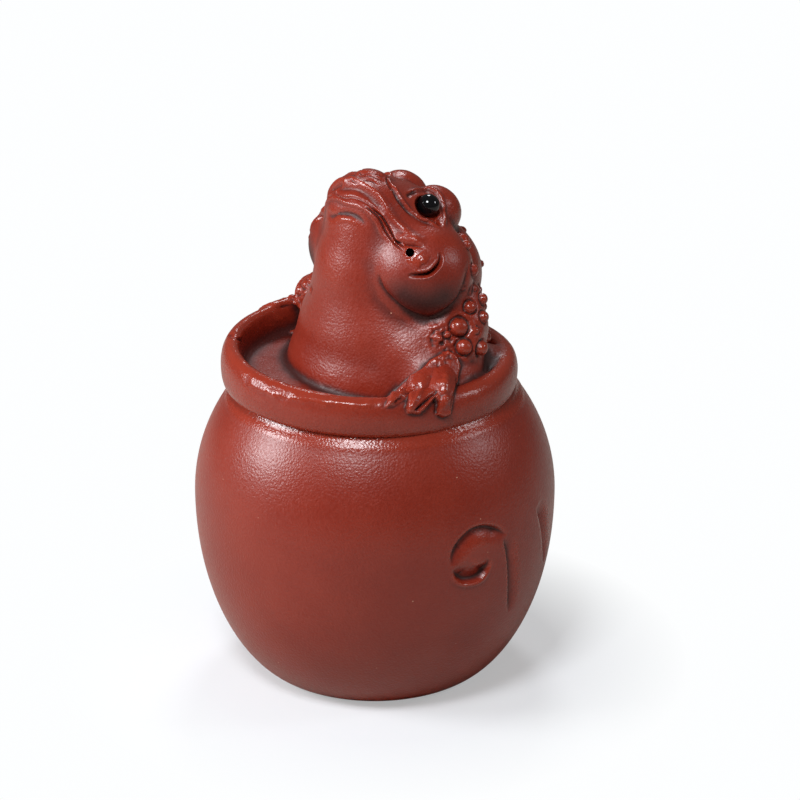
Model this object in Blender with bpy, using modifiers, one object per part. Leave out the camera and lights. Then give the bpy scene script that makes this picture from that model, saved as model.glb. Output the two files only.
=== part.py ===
"""A red clay tea pet: a warty toad rising from a round jar, one hollow fired piece, with two black bead eyes.

The jar stands on z = 0 with its axis on Z. The toad faces -Y and its left side is +X.
"""
import math

import bmesh
import bpy
import numpy as np
from mathutils import Matrix, Vector
from mathutils.bvhtree import BVHTree

MM = 0.001

# The jar
JAR_RADIUS = 30.0 * MM
FOOT_RADIUS = 17.3 * MM
BELLY_HEIGHT = 31.0 * MM
SHOULDER_RISE = 29.3 * MM
NECK_HEIGHT = 49.3 * MM
WALL = 3.4 * MM
VENT_RADIUS = 5.5 * MM

# The rolled rim and the basin that it closes in
RIM_OVERHANG = 1.0 * MM
RIM_HEIGHT = 7.4 * MM
RIM_WIDTH = 3.3 * MM
RIM_TILT = math.radians(1.4)
RIM_SWELL = 0.09
RIM_SWELL_BEARING = math.radians(262)
RIM_DIP = 0.13
RIM_DIP_BEARING = math.radians(182)
RIM_DIP_SPREAD = math.radians(28)
RIM_SHIFT = 0.97 * MM
RIM_SHIFT_BEARING = math.radians(52)
BASIN_DEPTH = 4.6 * MM

# The toad, whose masses are counted in parts of its torso's and its head's widths
TORSO_WIDTH = 33.0 * MM
TORSO_LEAN = 4.6 * MM
HEAD_WIDTH = 33.0 * MM
HEAD_RISE = 29.0 * MM
HEAD_SET_BACK = 1.8 * MM
HEAD_PITCH = math.radians(45)
HEAD_YAW = math.radians(5)
EYE_SPACING = 15.2 * MM
EYE_FORWARD = 0.5 * MM
EYE_DROP = 0.45 * MM
BEAD_RADIUS = 1.8 * MM
BEAD_CLEARANCE = 0.3 * MM
PINHOLE_RADIUS = 0.75 * MM
MOUTH_WIDTH = 0.5 * MM
MOUTH_DEPTH = 0.7 * MM
CRESCENT_WIDTH = 0.65 * MM
CRESCENT_DEPTH = 1.1 * MM
CREASE_WIDTH = 0.8 * MM
CREASE_DEPTH = 0.5 * MM
LID_WIDTH = 0.8 * MM
LID_HEIGHT = 0.6 * MM
WART_RADIUS = 1.45 * MM
FINGER_RADIUS = 1.15 * MM
LEFT_BEARING = math.radians(80)
RIGHT_BEARING = math.radians(-96)
RIGHT_HAND_SINK = 1.4 * MM

# The scroll carved in the belly
SCROLL_WIDTH = 1.1 * MM
SCROLL_DEPTH = 0.8 * MM

# How finely the clay is modelled
COARSE_GRAIN = 0.8 * MM
FINE_GRAIN = 0.5 * MM
TOAD_TRIANGLES = 5200
HOLLOW_TRIANGLES = 500
TURN_STEPS = 60

# Values that follow
NECK_RADIUS = JAR_RADIUS * math.sqrt(1 - ((NECK_HEIGHT - BELLY_HEIGHT) / SHOULDER_RISE) ** 2)
RIM_RADIUS = NECK_RADIUS + RIM_OVERHANG
RIM_TOP = NECK_HEIGHT + RIM_HEIGHT
RIM_INNER = RIM_RADIUS - RIM_WIDTH
BASIN_FLOOR = RIM_TOP - BASIN_DEPTH
RIM_CENTRE = Vector((-math.cos(RIM_SHIFT_BEARING), -math.sin(RIM_SHIFT_BEARING), 0)) * RIM_SHIFT
TORSO_UNIT = TORSO_WIDTH / 33
HEAD_UNIT = HEAD_WIDTH / 33
TORSO_AXIS = RIM_CENTRE + Vector((0, TORSO_LEAN, BASIN_FLOOR))
HEAD_CENTRE = TORSO_AXIS + Vector((0, HEAD_SET_BACK, HEAD_RISE))
HEAD_TURN = Matrix.Rotation(HEAD_YAW, 3, "Z") @ Matrix.Rotation(-HEAD_PITCH, 3, "X")

CLAY = ("red_clay", (0.265, 0.062, 0.038, 1), 0.48)
GLASS = ("black_bead", (0.006, 0.006, 0.007, 1), 0.06)


def collection(name):
    c = bpy.data.collections.new(name)
    bpy.context.scene.collection.children.link(c)
    return c


def material(name, colour, roughness):
    m = bpy.data.materials.new(name)
    m.use_nodes = True
    shader = m.node_tree.nodes["Principled BSDF"]
    shader.inputs["Base Color"].default_value = colour
    shader.inputs["Roughness"].default_value = roughness
    return m


def put(name, bm, home):
    """Store a finished bmesh as an object of a collection."""
    mesh = bpy.data.meshes.new(name)
    bm.to_mesh(mesh)
    bm.free()
    o = bpy.data.objects.new(name, mesh)
    home.objects.link(o)
    return o


def settle(o):
    """Apply an object's modifiers."""
    graph = bpy.context.evaluated_depsgraph_get()
    mesh = bpy.data.meshes.new_from_object(o.evaluated_get(graph))
    o.modifiers.clear()
    o.data = mesh
    return o


def ball(bm, centre, radii, turn=None, segments=20):
    """An ellipsoid of three half widths, turned by a 3 x 3 matrix."""
    turned = turn.to_4x4() if turn else Matrix.Identity(4)
    place = Matrix.Translation(centre) @ turned @ Matrix.Diagonal((*radii, 1))
    rings = segments * 2 // 3
    bmesh.ops.create_uvsphere(bm, u_segments=segments, v_segments=rings, radius=1, matrix=place)


def limb(bm, points, segments=12):
    """A round limb through places with a radius each: balls joined by cones."""
    for centre, radius in points:
        ball(bm, centre, (radius,) * 3, segments=segments)
    for (start, r1), (end, r2) in zip(points, points[1:]):
        along = end - start
        turn = along.to_track_quat("Z", "Y").to_matrix().to_4x4()
        bmesh.ops.create_cone(bm, cap_ends=True, segments=segments, radius1=r1, radius2=r2,
                              depth=along.length, matrix=Matrix.Translation((start + end) / 2) @ turn)


def bend(points, steps):
    """A smooth curve of (place, radius) pairs through the given ones."""
    places = [2 * points[0][0] - points[1][0]] + [p for p, r in points]
    places.append(2 * points[-1][0] - points[-2][0])
    radii = [points[0][1]] + [r for p, r in points] + [points[-1][1]]
    curve = []
    for i in range(1, len(places) - 2):
        a, b, c, d = places[i - 1:i + 3]
        for k in range(steps):
            t = k / steps
            place = ((2 * b) + (c - a) * t + (2 * a - 5 * b + 4 * c - d) * t ** 2
                     + (3 * b - a - 3 * c + d) * t ** 3) / 2
            curve.append((place, radii[i] + (radii[i + 1] - radii[i]) * t))
    return curve + [points[-1]]


def fuse(o, grain, rounds):
    """Melt an object's overlapping shapes into one skin and soften it."""
    skin = o.modifiers.new("skin", "REMESH")
    skin.mode = "VOXEL"
    skin.voxel_size = grain
    if rounds:
        soft = o.modifiers.new("soft", "SMOOTH")
        soft.factor = 0.5
        soft.iterations = rounds
    return settle(o)


def add(o, bm):
    """Add a bmesh's shapes to an object's mesh."""
    extra = bpy.data.meshes.new("extra")
    bm.to_mesh(extra)
    bm.free()
    both = bmesh.new()
    both.from_mesh(o.data)
    both.from_mesh(extra)
    both.to_mesh(o.data)
    both.free()
    bpy.data.meshes.remove(extra)


def on_head(left, forward, up):
    """A place counted from the middle of the head, in parts of its width."""
    return HEAD_CENTRE + HEAD_TURN @ Vector((left, -forward, up)) * HEAD_UNIT


def on_torso(left, back, up):
    return TORSO_AXIS + Vector((left, back, up)) * TORSO_UNIT


def rim_frame():
    """Where the rim's own frame lies: shifted, and tilted so that one side stands higher."""
    pivot = RIM_CENTRE + Vector((0, 0, NECK_HEIGHT))
    across = Vector((math.sin(RIM_SHIFT_BEARING), -math.cos(RIM_SHIFT_BEARING), 0))
    return Matrix.Translation(pivot) @ Matrix.Rotation(-RIM_TILT, 4, across)


def on_rim(bearing, outward, above):
    """A place at a bearing from straight ahead, so far beyond the roll's middle and above its top."""
    radius = RIM_RADIUS - RIM_WIDTH / 2 + outward
    return rim_frame() @ Vector((math.sin(bearing) * radius, -math.cos(bearing) * radius, RIM_HEIGHT + above))


def stroke(o, points, width, depth, lip=0.0):
    """Press a groove along points laid on the skin, or raise a ridge where the depth is negative."""
    mesh = o.data
    count = len(mesh.vertices)
    places = np.empty(count * 3)
    mesh.vertices.foreach_get("co", places)
    places = places.reshape(-1, 3)
    normals = np.empty(count * 3)
    mesh.vertex_normals.foreach_get("vector", normals)
    normals = normals.reshape(-1, 3)
    skin = skin_of(o)
    laid = np.array([skin.find_nearest(p)[0] for p in points])
    nearest = np.full(count, 1.0)
    for a, b in zip(laid[:-1], laid[1:]):
        along = b - a
        share = np.clip((places - a) @ along / max(along @ along, 1e-12), 0, 1)
        nearest = np.minimum(nearest, np.linalg.norm(places - a - share[:, None] * along, axis=1))
    x = nearest / width
    fall = -depth * np.exp(-2 * x ** 2) + lip * np.exp(-6 * (x - 1.5) ** 2)
    places += normals * fall[:, None]
    mesh.vertices.foreach_set("co", places.ravel())
    mesh.update()


def along_head(points, steps=6):
    """A smooth line through places on the head."""
    return [p for p, r in bend([(on_head(*p), 1.0) for p in points], steps)]


def torso_masses(bm):
    """The seat in the basin, the belly, the back, the nape, the throat's column and the shoulders."""
    t = TORSO_UNIT
    ball(bm, on_torso(0, -1.2, 0), (18.0 * t, 15.6 * t, 12.0 * t))
    ball(bm, on_torso(0, -1.0, 6), (15.6 * t, 14.2 * t, 13.0 * t))
    ball(bm, on_torso(0, -1.6, 10), (13.0 * t, 12.6 * t, 12.0 * t))
    ball(bm, on_torso(0, 1.8, 11), (14.0 * t, 12.2 * t, 12.0 * t))
    ball(bm, on_torso(0, 4.6, 15.4), (12.6 * t, 11.0 * t, 10.0 * t))
    ball(bm, on_torso(0, -2.6, 15), (10.8 * t, 10.8 * t, 15.0 * t))
    ball(bm, on_torso(9.6, -0.6, 4.0), (8.4 * t, 11.0 * t, 10.0 * t))
    ball(bm, on_torso(11.5, 1.4, 8.0), (7.0 * t, 8.0 * t, 8.0 * t))
    ball(bm, on_torso(-10.5, 1.0, 4.0), (7.0 * t, 9.5 * t, 9.5 * t))
    ball(bm, on_torso(13.6, 3.2, 9.4), (5.0 * t, 5.4 * t, 7.0 * t))
    ball(bm, on_torso(-13.4, 1.6, 8.5), (4.6 * t, 5.0 * t, 6.0 * t))


def head_masses(bm):
    """The skull, the broad muzzle, the jaw, the throat's sac and the puffed cheeks."""
    h = HEAD_UNIT
    ball(bm, on_head(0, -3.0, -3.3), (10.6 * h, 9.6 * h, 6.2 * h), HEAD_TURN)
    ball(bm, on_head(0, 3.2, -4.6), (8.4 * h, 7.0 * h, 5.0 * h), HEAD_TURN)
    ball(bm, on_head(0, 0.6, -8.8), (8.0 * h, 7.6 * h, 4.8 * h), HEAD_TURN)
    ball(bm, on_head(0, -1.6, -11.0), (8.6 * h, 8.0 * h, 6.2 * h), HEAD_TURN)
    for side in (1, -1):
        ball(bm, on_head(3.1 * side, 3.2, -5.9), (5.3 * h, 6.2 * h, 4.4 * h), HEAD_TURN)
    ball(bm, on_head(6.6, -0.4, -7.2), (5.4 * h, 6.4 * h, 5.4 * h), HEAD_TURN)
    ball(bm, on_head(-6.2, -0.8, -7.2), (4.8 * h, 5.8 * h, 5.2 * h), HEAD_TURN)
    ball(bm, on_head(9.2, -4.2, -9.6), (8.9 * h, 8.6 * h, 8.4 * h), HEAD_TURN)
    ball(bm, on_head(-8.4, -4.8, -9.3), (7.2 * h, 7.4 * h, 7.2 * h), HEAD_TURN)


def head_features(bm):
    """The eye bulges and the nose."""
    h = HEAD_UNIT
    ball(bm, on_head(4.4, -4.7, 1.0), (4.2 * h, 4.7 * h, 4.0 * h), HEAD_TURN)
    ball(bm, on_head(-4.2, -5.0, 1.6), (4.2 * h, 4.9 * h, 4.1 * h), HEAD_TURN)
    ball(bm, on_head(0, 6.4, -1.5), (3.3 * h, 2.9 * h, 2.0 * h), HEAD_TURN)


def upper_arm(o, shoulder, elbow, wrist, palm):
    """A heavy upper arm that bends at the elbow over the basin's edge and thins towards the hand."""
    t = TORSO_UNIT
    bm = bmesh.new()
    limb(bm, bend([(shoulder, 4.6 * t), (elbow, 3.7 * t), (wrist, 2.6 * t), (palm, 1.9 * t)], 3))
    add(o, bm)


def hand(o, side, bearing, palm, lift):
    """Four toes spread from the palm over the rim and a little down its outside."""
    for k in range(4):
        spread = math.radians(-22 + 8.5 * k) * side
        reach = (0.9, 1.6, 1.8, 1.5)[k] * MM
        knuckle = on_rim(bearing + spread * 0.55, reach * 0.4, lift)
        tip = on_rim(bearing + spread, reach, (-1.6, -3.0, -3.6, -3.9)[k] * MM)
        bm = bmesh.new()
        limb(bm, bend([(palm, 1.5 * TORSO_UNIT), (knuckle, FINGER_RADIUS), (tip, 0.55 * FINGER_RADIUS)], 3), 8)
        add(o, bm)


# Warts as (left, back, up, size) on one half of the torso
SHOULDER_WARTS = ((17.6, 0.3, 11.8, 1.1), (20.8, -1.5, 9.3, 1.0), (22.0, 1.4, 8.6, 1.0), (16.9, 3.1, 14.0, 0.85),
                  (19.6, 3.0, 11.6, 0.7))
BACK_WARTS = ((16.5, 6.6, 13.0, 0.75), (14.2, 8.6, 16.6, 0.7), (11.6, 10.0, 20.4, 0.75), (10.4, 8.4, 23.6, 0.65),
              (15.2, 10.6, 7.5, 0.8), (12.0, 12.0, 12.5, 0.8), (8.0, 14.0, 17.0, 0.85), (11.4, 13.2, 5.5, 0.75),
              (4.0, 14.6, 20.5, 0.75), (6.0, 13.0, 24.5, 0.65), (4.4, 15.2, 13.0, 0.9), (7.6, 14.6, 8.5, 0.8))


def add_warts(bm, skin):
    """Half-sunk balls on the skin of both sides."""
    for side in (1, -1):
        for left, back, up, size in SHOULDER_WARTS + BACK_WARTS:
            place = skin.find_nearest(on_torso(side * left, back, up))[0]
            ball(bm, place, (WART_RADIUS * size,) * 3, segments=12)


def skin_of(o):
    return BVHTree.FromPolygons([v.co for v in o.data.vertices], [p.vertices[:] for p in o.data.polygons])


# Lines on the left half of the head, as (left, forward, up)
MOUTH = ((0.0, 9.3, -6.4), (2.5, 9.4, -6.5), (4.8, 9.1, -7.1), (6.2, 8.4, -7.4), (7.3, 7.3, -7.8), (8.2, 6.0, -8.7),
         (9.3, 4.8, -9.5), (10.8, 3.1, -9.4))
MOUTH_FOLD = ((9.8, 4.4, -9.3), (10.9, 3.5, -8.9), (12.3, 1.3, -7.9))
UNDER_LIP = ((0.0, 8.6, -9.3), (1.8, 8.6, -9.2), (3.6, 8.1, -9.4), (5.0, 7.4, -9.8))
CRESCENT = ((13.7, -1.0, -6.5), (14.7, -1.3, -7.8), (14.7, -1.0, -9.8), (14.2, -0.8, -11.1), (13.1, -0.3, -12.0),
            (11.8, 0.1, -12.5))
SNOUT_CREASE = ((2.5, 7.3, -0.3), (4.1, 6.8, -1.5), (6.0, 6.1, -2.4), (7.5, 5.0, -3.4), (9.6, 4.2, -4.6))
LOWER_LID = ((4.3, 5.4, -0.6), (5.6, 4.8, -1.4), (7.8, 4.0, -3.0), (9.6, 2.4, -3.6), (10.5, 0.0, -3.2),
             (10.4, -1.9, -2.6))
UPPER_LID = ((5.5, 3.8, -0.6), (5.2, 2.4, 0.8), (5.4, 0.1, 2.0), (6.8, -0.9, 2.2), (8.2, -1.9, 0.8), (10.3, -2.1, -2.3))
PINHOLE = (11.5, 2.2, -9.5)


def mirrored(line):
    return [(-left, forward, up) for left, forward, up in line]


def both_sides(o, line, width, depth, lip=0.0):
    for half in (line, mirrored(line)):
        stroke(o, along_head(half), width, depth, lip)


def right_across(o, half, width, depth, lip=0.0):
    """One stroke from the right end of a line to its left end, given the half from the middle outwards."""
    stroke(o, along_head(mirrored(half)[:0:-1] + list(half)), width, depth, lip)


def carve_head(o):
    """The mouth, its folds, the crescents on the cheeks and the eyelids."""
    both_sides(o, LOWER_LID, LID_WIDTH, -LID_HEIGHT)
    both_sides(o, UPPER_LID, LID_WIDTH, -LID_HEIGHT)
    both_sides(o, SNOUT_CREASE, CREASE_WIDTH, CREASE_DEPTH)
    right_across(o, UNDER_LIP, CREASE_WIDTH, CREASE_DEPTH)
    right_across(o, MOUTH, MOUTH_WIDTH, MOUTH_DEPTH, 0.3 * MOUTH_DEPTH)
    both_sides(o, MOUTH_FOLD, MOUTH_WIDTH, MOUTH_DEPTH)
    both_sides(o, CRESCENT, CRESCENT_WIDTH, CRESCENT_DEPTH, 0.2 * CRESCENT_DEPTH)


def melted(name, masses, rounds, work):
    """An object made of some masses, melted into one skin."""
    bm = bmesh.new()
    masses(bm)
    return fuse(put(name, bm, work), COARSE_GRAIN, rounds)


def join(o, other):
    """Add another object's mesh to an object and remove the other."""
    bm = bmesh.new()
    bm.from_mesh(other.data)
    bpy.data.objects.remove(other)
    add(o, bm)


def build_toad(work):
    """The toad in steps: torso, head, eye bulges and nose, limbs, then the warts and the carved lines."""
    toad = melted("toad", torso_masses, 20, work)
    join(toad, melted("head", head_masses, 20, work))
    fuse(toad, COARSE_GRAIN, 8)
    join(toad, melted("features", head_features, 2, work))
    left_palm = on_rim(LEFT_BEARING + math.radians(14), -4.8 * MM, 1.2 * MM)
    upper_arm(toad, on_torso(12.5, 3.6, 13.4), on_torso(15.6, 2.6, 9.4),
              on_rim(LEFT_BEARING + math.radians(27), -4.9 * MM, 3.0 * MM), left_palm)
    right_palm = on_rim(RIGHT_BEARING, -0.4 * MM, -RIGHT_HAND_SINK)
    upper_arm(toad, on_torso(-13.6, 1.2, 9.8), on_torso(-18.8, -1.1, 7.4),
              on_rim(RIGHT_BEARING - math.radians(12), -2.2 * MM, -0.8 * MM), right_palm)
    fuse(toad, FINE_GRAIN, 5)
    hand(toad, 1, LEFT_BEARING, left_palm, 0.2 * MM)
    hand(toad, -1, RIGHT_BEARING, right_palm, -RIGHT_HAND_SINK)
    fuse(toad, FINE_GRAIN, 2)
    bm = bmesh.new()
    add_warts(bm, skin_of(toad))
    add(toad, bm)
    fuse(toad, FINE_GRAIN, 1)
    carve_head(toad)
    return toad


def turned(name, profile, home, steps=TURN_STEPS):
    """A profile of (radius, height) points, from the top down, turned about Z."""
    mesh = bpy.data.meshes.new(name)
    bm = bmesh.new()
    row = [bm.verts.new((r, 0, z)) for r, z in profile]
    for a, b in zip(row, row[1:]):
        bm.edges.new((a, b))
    bm.to_mesh(mesh)
    bm.free()
    o = bpy.data.objects.new(name, mesh)
    home.objects.link(o)
    spin = o.modifiers.new("turn", "SCREW")
    spin.steps = steps
    spin.render_steps = steps
    spin.use_merge_vertices = True
    spin.merge_threshold = 0.00001
    return settle(o)


def jar_radius(height):
    """The jar's outer radius at a height: an arc above the belly, a fuller curve below it."""
    if height > BELLY_HEIGHT:
        return JAR_RADIUS * math.sqrt(1 - ((height - BELLY_HEIGHT) / SHOULDER_RISE) ** 2)
    drop = (BELLY_HEIGHT - height) / BELLY_HEIGHT
    return FOOT_RADIUS + (JAR_RADIUS - FOOT_RADIUS) * (1 - drop ** 2.1) ** (1 / 1.5)


def jar_outline(inset, top, rows):
    """The jar's side from a height down to its foot, drawn in by a wall, with closer rows at the foot."""
    heights = [top * (1 - (k / rows) ** 0.85) for k in range(rows)] + [0]
    return [(jar_radius(z) - inset, z) for z in heights]


def rim_outline():
    """The roll's section in the rim's own frame, from the basin's middle over the roll and under the shoulder."""
    r, w, h = RIM_RADIUS, RIM_WIDTH, RIM_HEIGHT
    floor = h - BASIN_DEPTH
    inside = [(0, floor), (RIM_INNER - 0.35 * w, floor), (RIM_INNER - 0.1 * w, floor + 0.1 * h), (RIM_INNER, 0.78 * h),
              (RIM_INNER + 0.08 * w, 0.92 * h), (RIM_INNER + 0.22 * w, 0.985 * h), (RIM_INNER + 0.38 * w, h)]
    outside = [(RIM_INNER + 0.58 * w, 0.98 * h), (RIM_INNER + 0.78 * w, 0.91 * h), (RIM_INNER + 0.93 * w, 0.77 * h),
               (r, 0.55 * h), (r - 0.03 * w, 0.3 * h), (r - 0.12 * w, 0.1 * h), (r - 0.3 * w, -0.03 * h), (0, -0.2 * h)]
    return inside + outside


def build_rim(work):
    """The roll, thicker towards one side and pressed down at the back, as a hand-rolled coil is."""
    rim = turned("rim", rim_outline(), work)
    for v in rim.data.vertices:
        bearing = math.atan2(v.co.x, -v.co.y) % (2 * math.pi)
        dip = RIM_DIP * math.exp(-((bearing - RIM_DIP_BEARING) / RIM_DIP_SPREAD) ** 2)
        thick = RIM_SWELL * math.cos(bearing - RIM_SWELL_BEARING) - dip
        v.co.z *= 1 + thick * min(1, v.co.xy.length / RIM_INNER)
    rim.data.transform(rim_frame())
    return rim


def triangles_of(o):
    """Split an object's faces into triangles and count them."""
    bm = bmesh.new()
    bm.from_mesh(o.data)
    bmesh.ops.triangulate(bm, faces=bm.faces)
    bm.to_mesh(o.data)
    count = len(bm.faces)
    bm.free()
    return count


def cut(o, cutter, operation="DIFFERENCE"):
    """Cut an object by another, or join the two, with a Boolean."""
    triangles_of(o)
    b = o.modifiers.new(operation.lower(), "BOOLEAN")
    b.operation = operation
    b.object = cutter
    cutter.hide_render = True
    cutter.display_type = "WIRE"
    return settle(o)


def thin(o, triangles):
    """Take an object's mesh down to about so many triangles."""
    d = o.modifiers.new("thin", "DECIMATE")
    d.ratio = min(1, triangles / triangles_of(o))
    return settle(o)


def on_jar(bearing, height, out=0.0):
    """A place on the jar's belly at a bearing from straight ahead, towards the toad's left."""
    r = jar_radius(height) + out
    return Vector((math.sin(bearing) * r, -math.cos(bearing) * r, height))


def groove_cutter(name, marks, work):
    """A round bar lying half in the belly, through (bearing in degrees, height, half width) marks."""
    bar = bpy.data.curves.new(name, "CURVE")
    bar.dimensions = "3D"
    bar.bevel_depth = SCROLL_WIDTH
    bar.bevel_resolution = 1
    bar.use_fill_caps = True
    line = bend([(Vector((bearing, height, 0)), half) for bearing, height, half in marks], 2)
    spline = bar.splines.new("POLY")
    spline.points.add(len(line) - 1)
    for point, (mark, half) in zip(spline.points, line):
        place = on_jar(math.radians(mark.x), mark.y * MM, half * SCROLL_WIDTH - SCROLL_DEPTH)
        point.co = (*place, 1)
        point.radius = half
    rod = bpy.data.objects.new(name, bar)
    work.objects.link(rod)
    graph = bpy.context.evaluated_depsgraph_get()
    mesh = bpy.data.meshes.new_from_object(rod.evaluated_get(graph))
    bm = bmesh.new()
    bm.from_mesh(mesh)
    bmesh.ops.remove_doubles(bm, verts=bm.verts, dist=0.01 * MM)
    bmesh.ops.recalc_face_normals(bm, faces=bm.faces)
    bpy.data.objects.remove(rod)
    bpy.data.meshes.remove(mesh)
    return put(name, bm, work)


# The scroll's lines as (bearing in degrees, height in millimetres, half width as a share)
HOOK = ((88, 27.5, 0.5), (84, 25.6, 0.8), (79, 27.2, 0.9), (77, 31, 0.9), (80, 34.2, 0.9), (88, 35.0, 0.8),
        (95, 33.2, 0.7), (99, 28.5, 0.8), (101, 22.5, 0.8), (104, 15.5, 0.3))
LEAF = ((114, 33.5, 0.3), (119, 30, 1.0), (120, 24, 1.2), (119, 18, 0.9), (117, 14.5, 0.3))
SCROLL_MIDDLE = 120


def carve_scroll(jar, work):
    """A hook on each side of an upright leaf."""
    far_hook = tuple((2 * SCROLL_MIDDLE - bearing, height, half) for bearing, height, half in HOOK)
    for name, marks in (("hook", HOOK), ("leaf", LEAF), ("far_hook", far_hook)):
        cut(jar, groove_cutter(name, marks, work))


def cavity_outline():
    """The hollow of the jar, from the middle of its roof down to its floor."""
    roof = BASIN_FLOOR - WALL - math.sin(RIM_TILT) * RIM_RADIUS
    side = [(r, z) for r, z in jar_outline(WALL, roof, 8) if z > WALL]
    low = [(jar_radius(WALL) - WALL, WALL), (0, WALL)]
    return [(0, roof)] + side + low


def hollow_cutters(work):
    """The jar's hollow, the passage up the toad, and the vent under the jar."""
    jar_hollow = turned("jar_hollow", cavity_outline(), work, steps=32)
    bm = bmesh.new()
    t, h = TORSO_UNIT, HEAD_UNIT
    ball(bm, on_torso(0, 1.0, 6), (10.5 * t, 8.6 * t, 13 * t), segments=16)
    ball(bm, on_torso(0, 1.4, 18), (7.2 * t, 6.4 * t, 9 * t), segments=16)
    ball(bm, on_head(0, -1.5, -5), (7.0 * h, 5.4 * h, 3.6 * h), HEAD_TURN, segments=16)
    passage = fuse(put("toad_hollow", bm, work), 1.1 * MM, 6)
    thin(passage, HOLLOW_TRIANGLES)
    bm = bmesh.new()
    bmesh.ops.create_cone(bm, cap_ends=True, segments=32, radius1=VENT_RADIUS, radius2=VENT_RADIUS, depth=4 * WALL)
    vent = put("vent", bm, work)
    return jar_hollow, passage, vent


def bore(name, inner, outer, radius, work):
    """A round cutter between two places."""
    along = outer - inner
    turn = along.to_track_quat("Z", "Y").to_matrix().to_4x4()
    bm = bmesh.new()
    bmesh.ops.create_cone(bm, cap_ends=True, segments=10, radius1=radius, radius2=radius, depth=along.length,
                          matrix=Matrix.Translation((inner + outer) / 2) @ turn)
    return put(name, bm, work)


def bead_place(side):
    return HEAD_CENTRE + HEAD_TURN @ Vector((side * EYE_SPACING / 2, -EYE_FORWARD, -EYE_DROP))


def build():
    for o in list(bpy.data.objects):
        bpy.data.objects.remove(o)
    home = collection("tea_pet")
    work = collection("cutters")
    clay = material(*CLAY)
    glass = material(*GLASS)

    toad = thin(build_toad(work), TOAD_TRIANGLES)
    jar = turned("clay_body", [(0, NECK_HEIGHT)] + jar_outline(0, NECK_HEIGHT, 17) + [(0, 0)], home)
    carve_scroll(jar, work)
    cut(jar, build_rim(work), "UNION")
    cut(jar, toad, "UNION")
    for cutter in hollow_cutters(work):
        cut(jar, cutter)
    for side, name in ((1, "left"), (-1, "right")):
        left, forward, up = PINHOLE
        cut(jar, bore(name + "_pinhole", on_head(side * 2.5, -2.0, -6), on_head(side * (left + 3), forward + 1.5, up - 1),
                      PINHOLE_RADIUS, work))
        bm = bmesh.new()
        socket_radius = BEAD_RADIUS + BEAD_CLEARANCE
        ball(bm, bead_place(side), (socket_radius,) * 3, HEAD_TURN, segments=16)
        cut(jar, put(name + "_socket", bm, work))
        bm = bmesh.new()
        ball(bm, bead_place(side), (BEAD_RADIUS,) * 3, HEAD_TURN, segments=16)
        bead = put(name + "_eye", bm, home)
        bead.data.materials.append(glass)
        bead.data.shade_smooth()
    jar.data.materials.clear()
    jar.data.materials.append(clay)
    jar.data.shade_smooth()
    jar.data.set_sharp_from_angle(angle=math.radians(40))


build()
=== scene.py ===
"""The looks of a red clay tea pet: a warty toad that rises from a round jar with a rolled rim.

Lengths are in metres. The jar stands on z = 0 with its axis on Z, the toad faces -Y and its left side is +X.
"""
import math

import bmesh
import bpy
import numpy as np
from mathutils import Matrix, Vector, noise
from mathutils.bvhtree import BVHTree


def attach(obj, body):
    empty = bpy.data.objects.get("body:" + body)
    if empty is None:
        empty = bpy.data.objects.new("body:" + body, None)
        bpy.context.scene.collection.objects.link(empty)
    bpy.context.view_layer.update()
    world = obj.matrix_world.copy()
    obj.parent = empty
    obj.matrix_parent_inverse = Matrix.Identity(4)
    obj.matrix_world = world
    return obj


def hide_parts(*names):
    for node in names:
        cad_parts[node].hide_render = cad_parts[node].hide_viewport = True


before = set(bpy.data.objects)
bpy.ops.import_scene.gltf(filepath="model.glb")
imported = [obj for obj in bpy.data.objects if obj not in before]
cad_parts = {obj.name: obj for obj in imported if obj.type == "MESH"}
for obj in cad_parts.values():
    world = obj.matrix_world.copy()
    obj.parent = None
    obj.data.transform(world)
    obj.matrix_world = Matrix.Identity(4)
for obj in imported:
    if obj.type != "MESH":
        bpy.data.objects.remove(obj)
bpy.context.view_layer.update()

MM = 0.001

# The camera, which stands to the toad's left front and looks down a little
CAMERA_BEARING = math.radians(52)
CAMERA_RISE = math.radians(22)
CAMERA_DISTANCE = 520 * MM
AIM_RIGHT = 4.18 * MM
AIM_HEIGHT = 46.58 * MM
LENS = 141.8
SENSOR = 36.0
IMAGE = 800

# The jar
JAR_RADIUS = 29.97 * MM
FOOT_RADIUS = 17.3 * MM
BELLY_HEIGHT = 31.0 * MM
SHOULDER_RISE = 29.3 * MM
NECK_HEIGHT = 49.3 * MM
WALL = 3.4 * MM
VENT_RADIUS = 5.5 * MM
JAR_STEPS = 400
JAR_ROWS = 150
# The thin collar under the roll, and how far the jar's edge reaches up into it
COLLAR_HEIGHT = 0.15 * MM
COLLAR_DROP = 1.1 * MM
COLLAR_WIDTH = 0.5 * MM
SEAT_DEPTH = 1.2 * MM

# The rolled rim and the basin inside it
RIM_OVERHANG = 1.0 * MM
RIM_HEIGHT = 7.4 * MM
RIM_WIDTH = 3.3 * MM
RIM_TILT = math.radians(1.4)
RIM_SWELL = 0.09
RIM_SWELL_BEARING = math.radians(262)
RIM_DIP = 0.13
RIM_DIP_BEARING = math.radians(182)
RIM_DIP_SPREAD = math.radians(28)
RIM_SHIFT = 0.97 * MM
BASIN_DEPTH = 4.6 * MM
RIM_STEPS = 240

# The toad
TORSO_LEAN = 4.6 * MM
HEAD_RISE = 29.0 * MM
HEAD_SET_BACK = 1.8 * MM
HEAD_PITCH = math.radians(45)
HEAD_YAW = math.radians(5)
EYE_SPACING = 15.2 * MM
EYE_FORWARD = 0.5 * MM
EYE_DROP = 0.45 * MM
BEAD_RADIUS = 1.8 * MM
SOCKET_GAP = 0.12 * MM
PINHOLE_RADIUS = 0.69 * MM
LEFT_BEARING = math.radians(80)
RIGHT_BEARING = math.radians(-96)
RIGHT_WRIST_TURN = math.radians(12)

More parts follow.
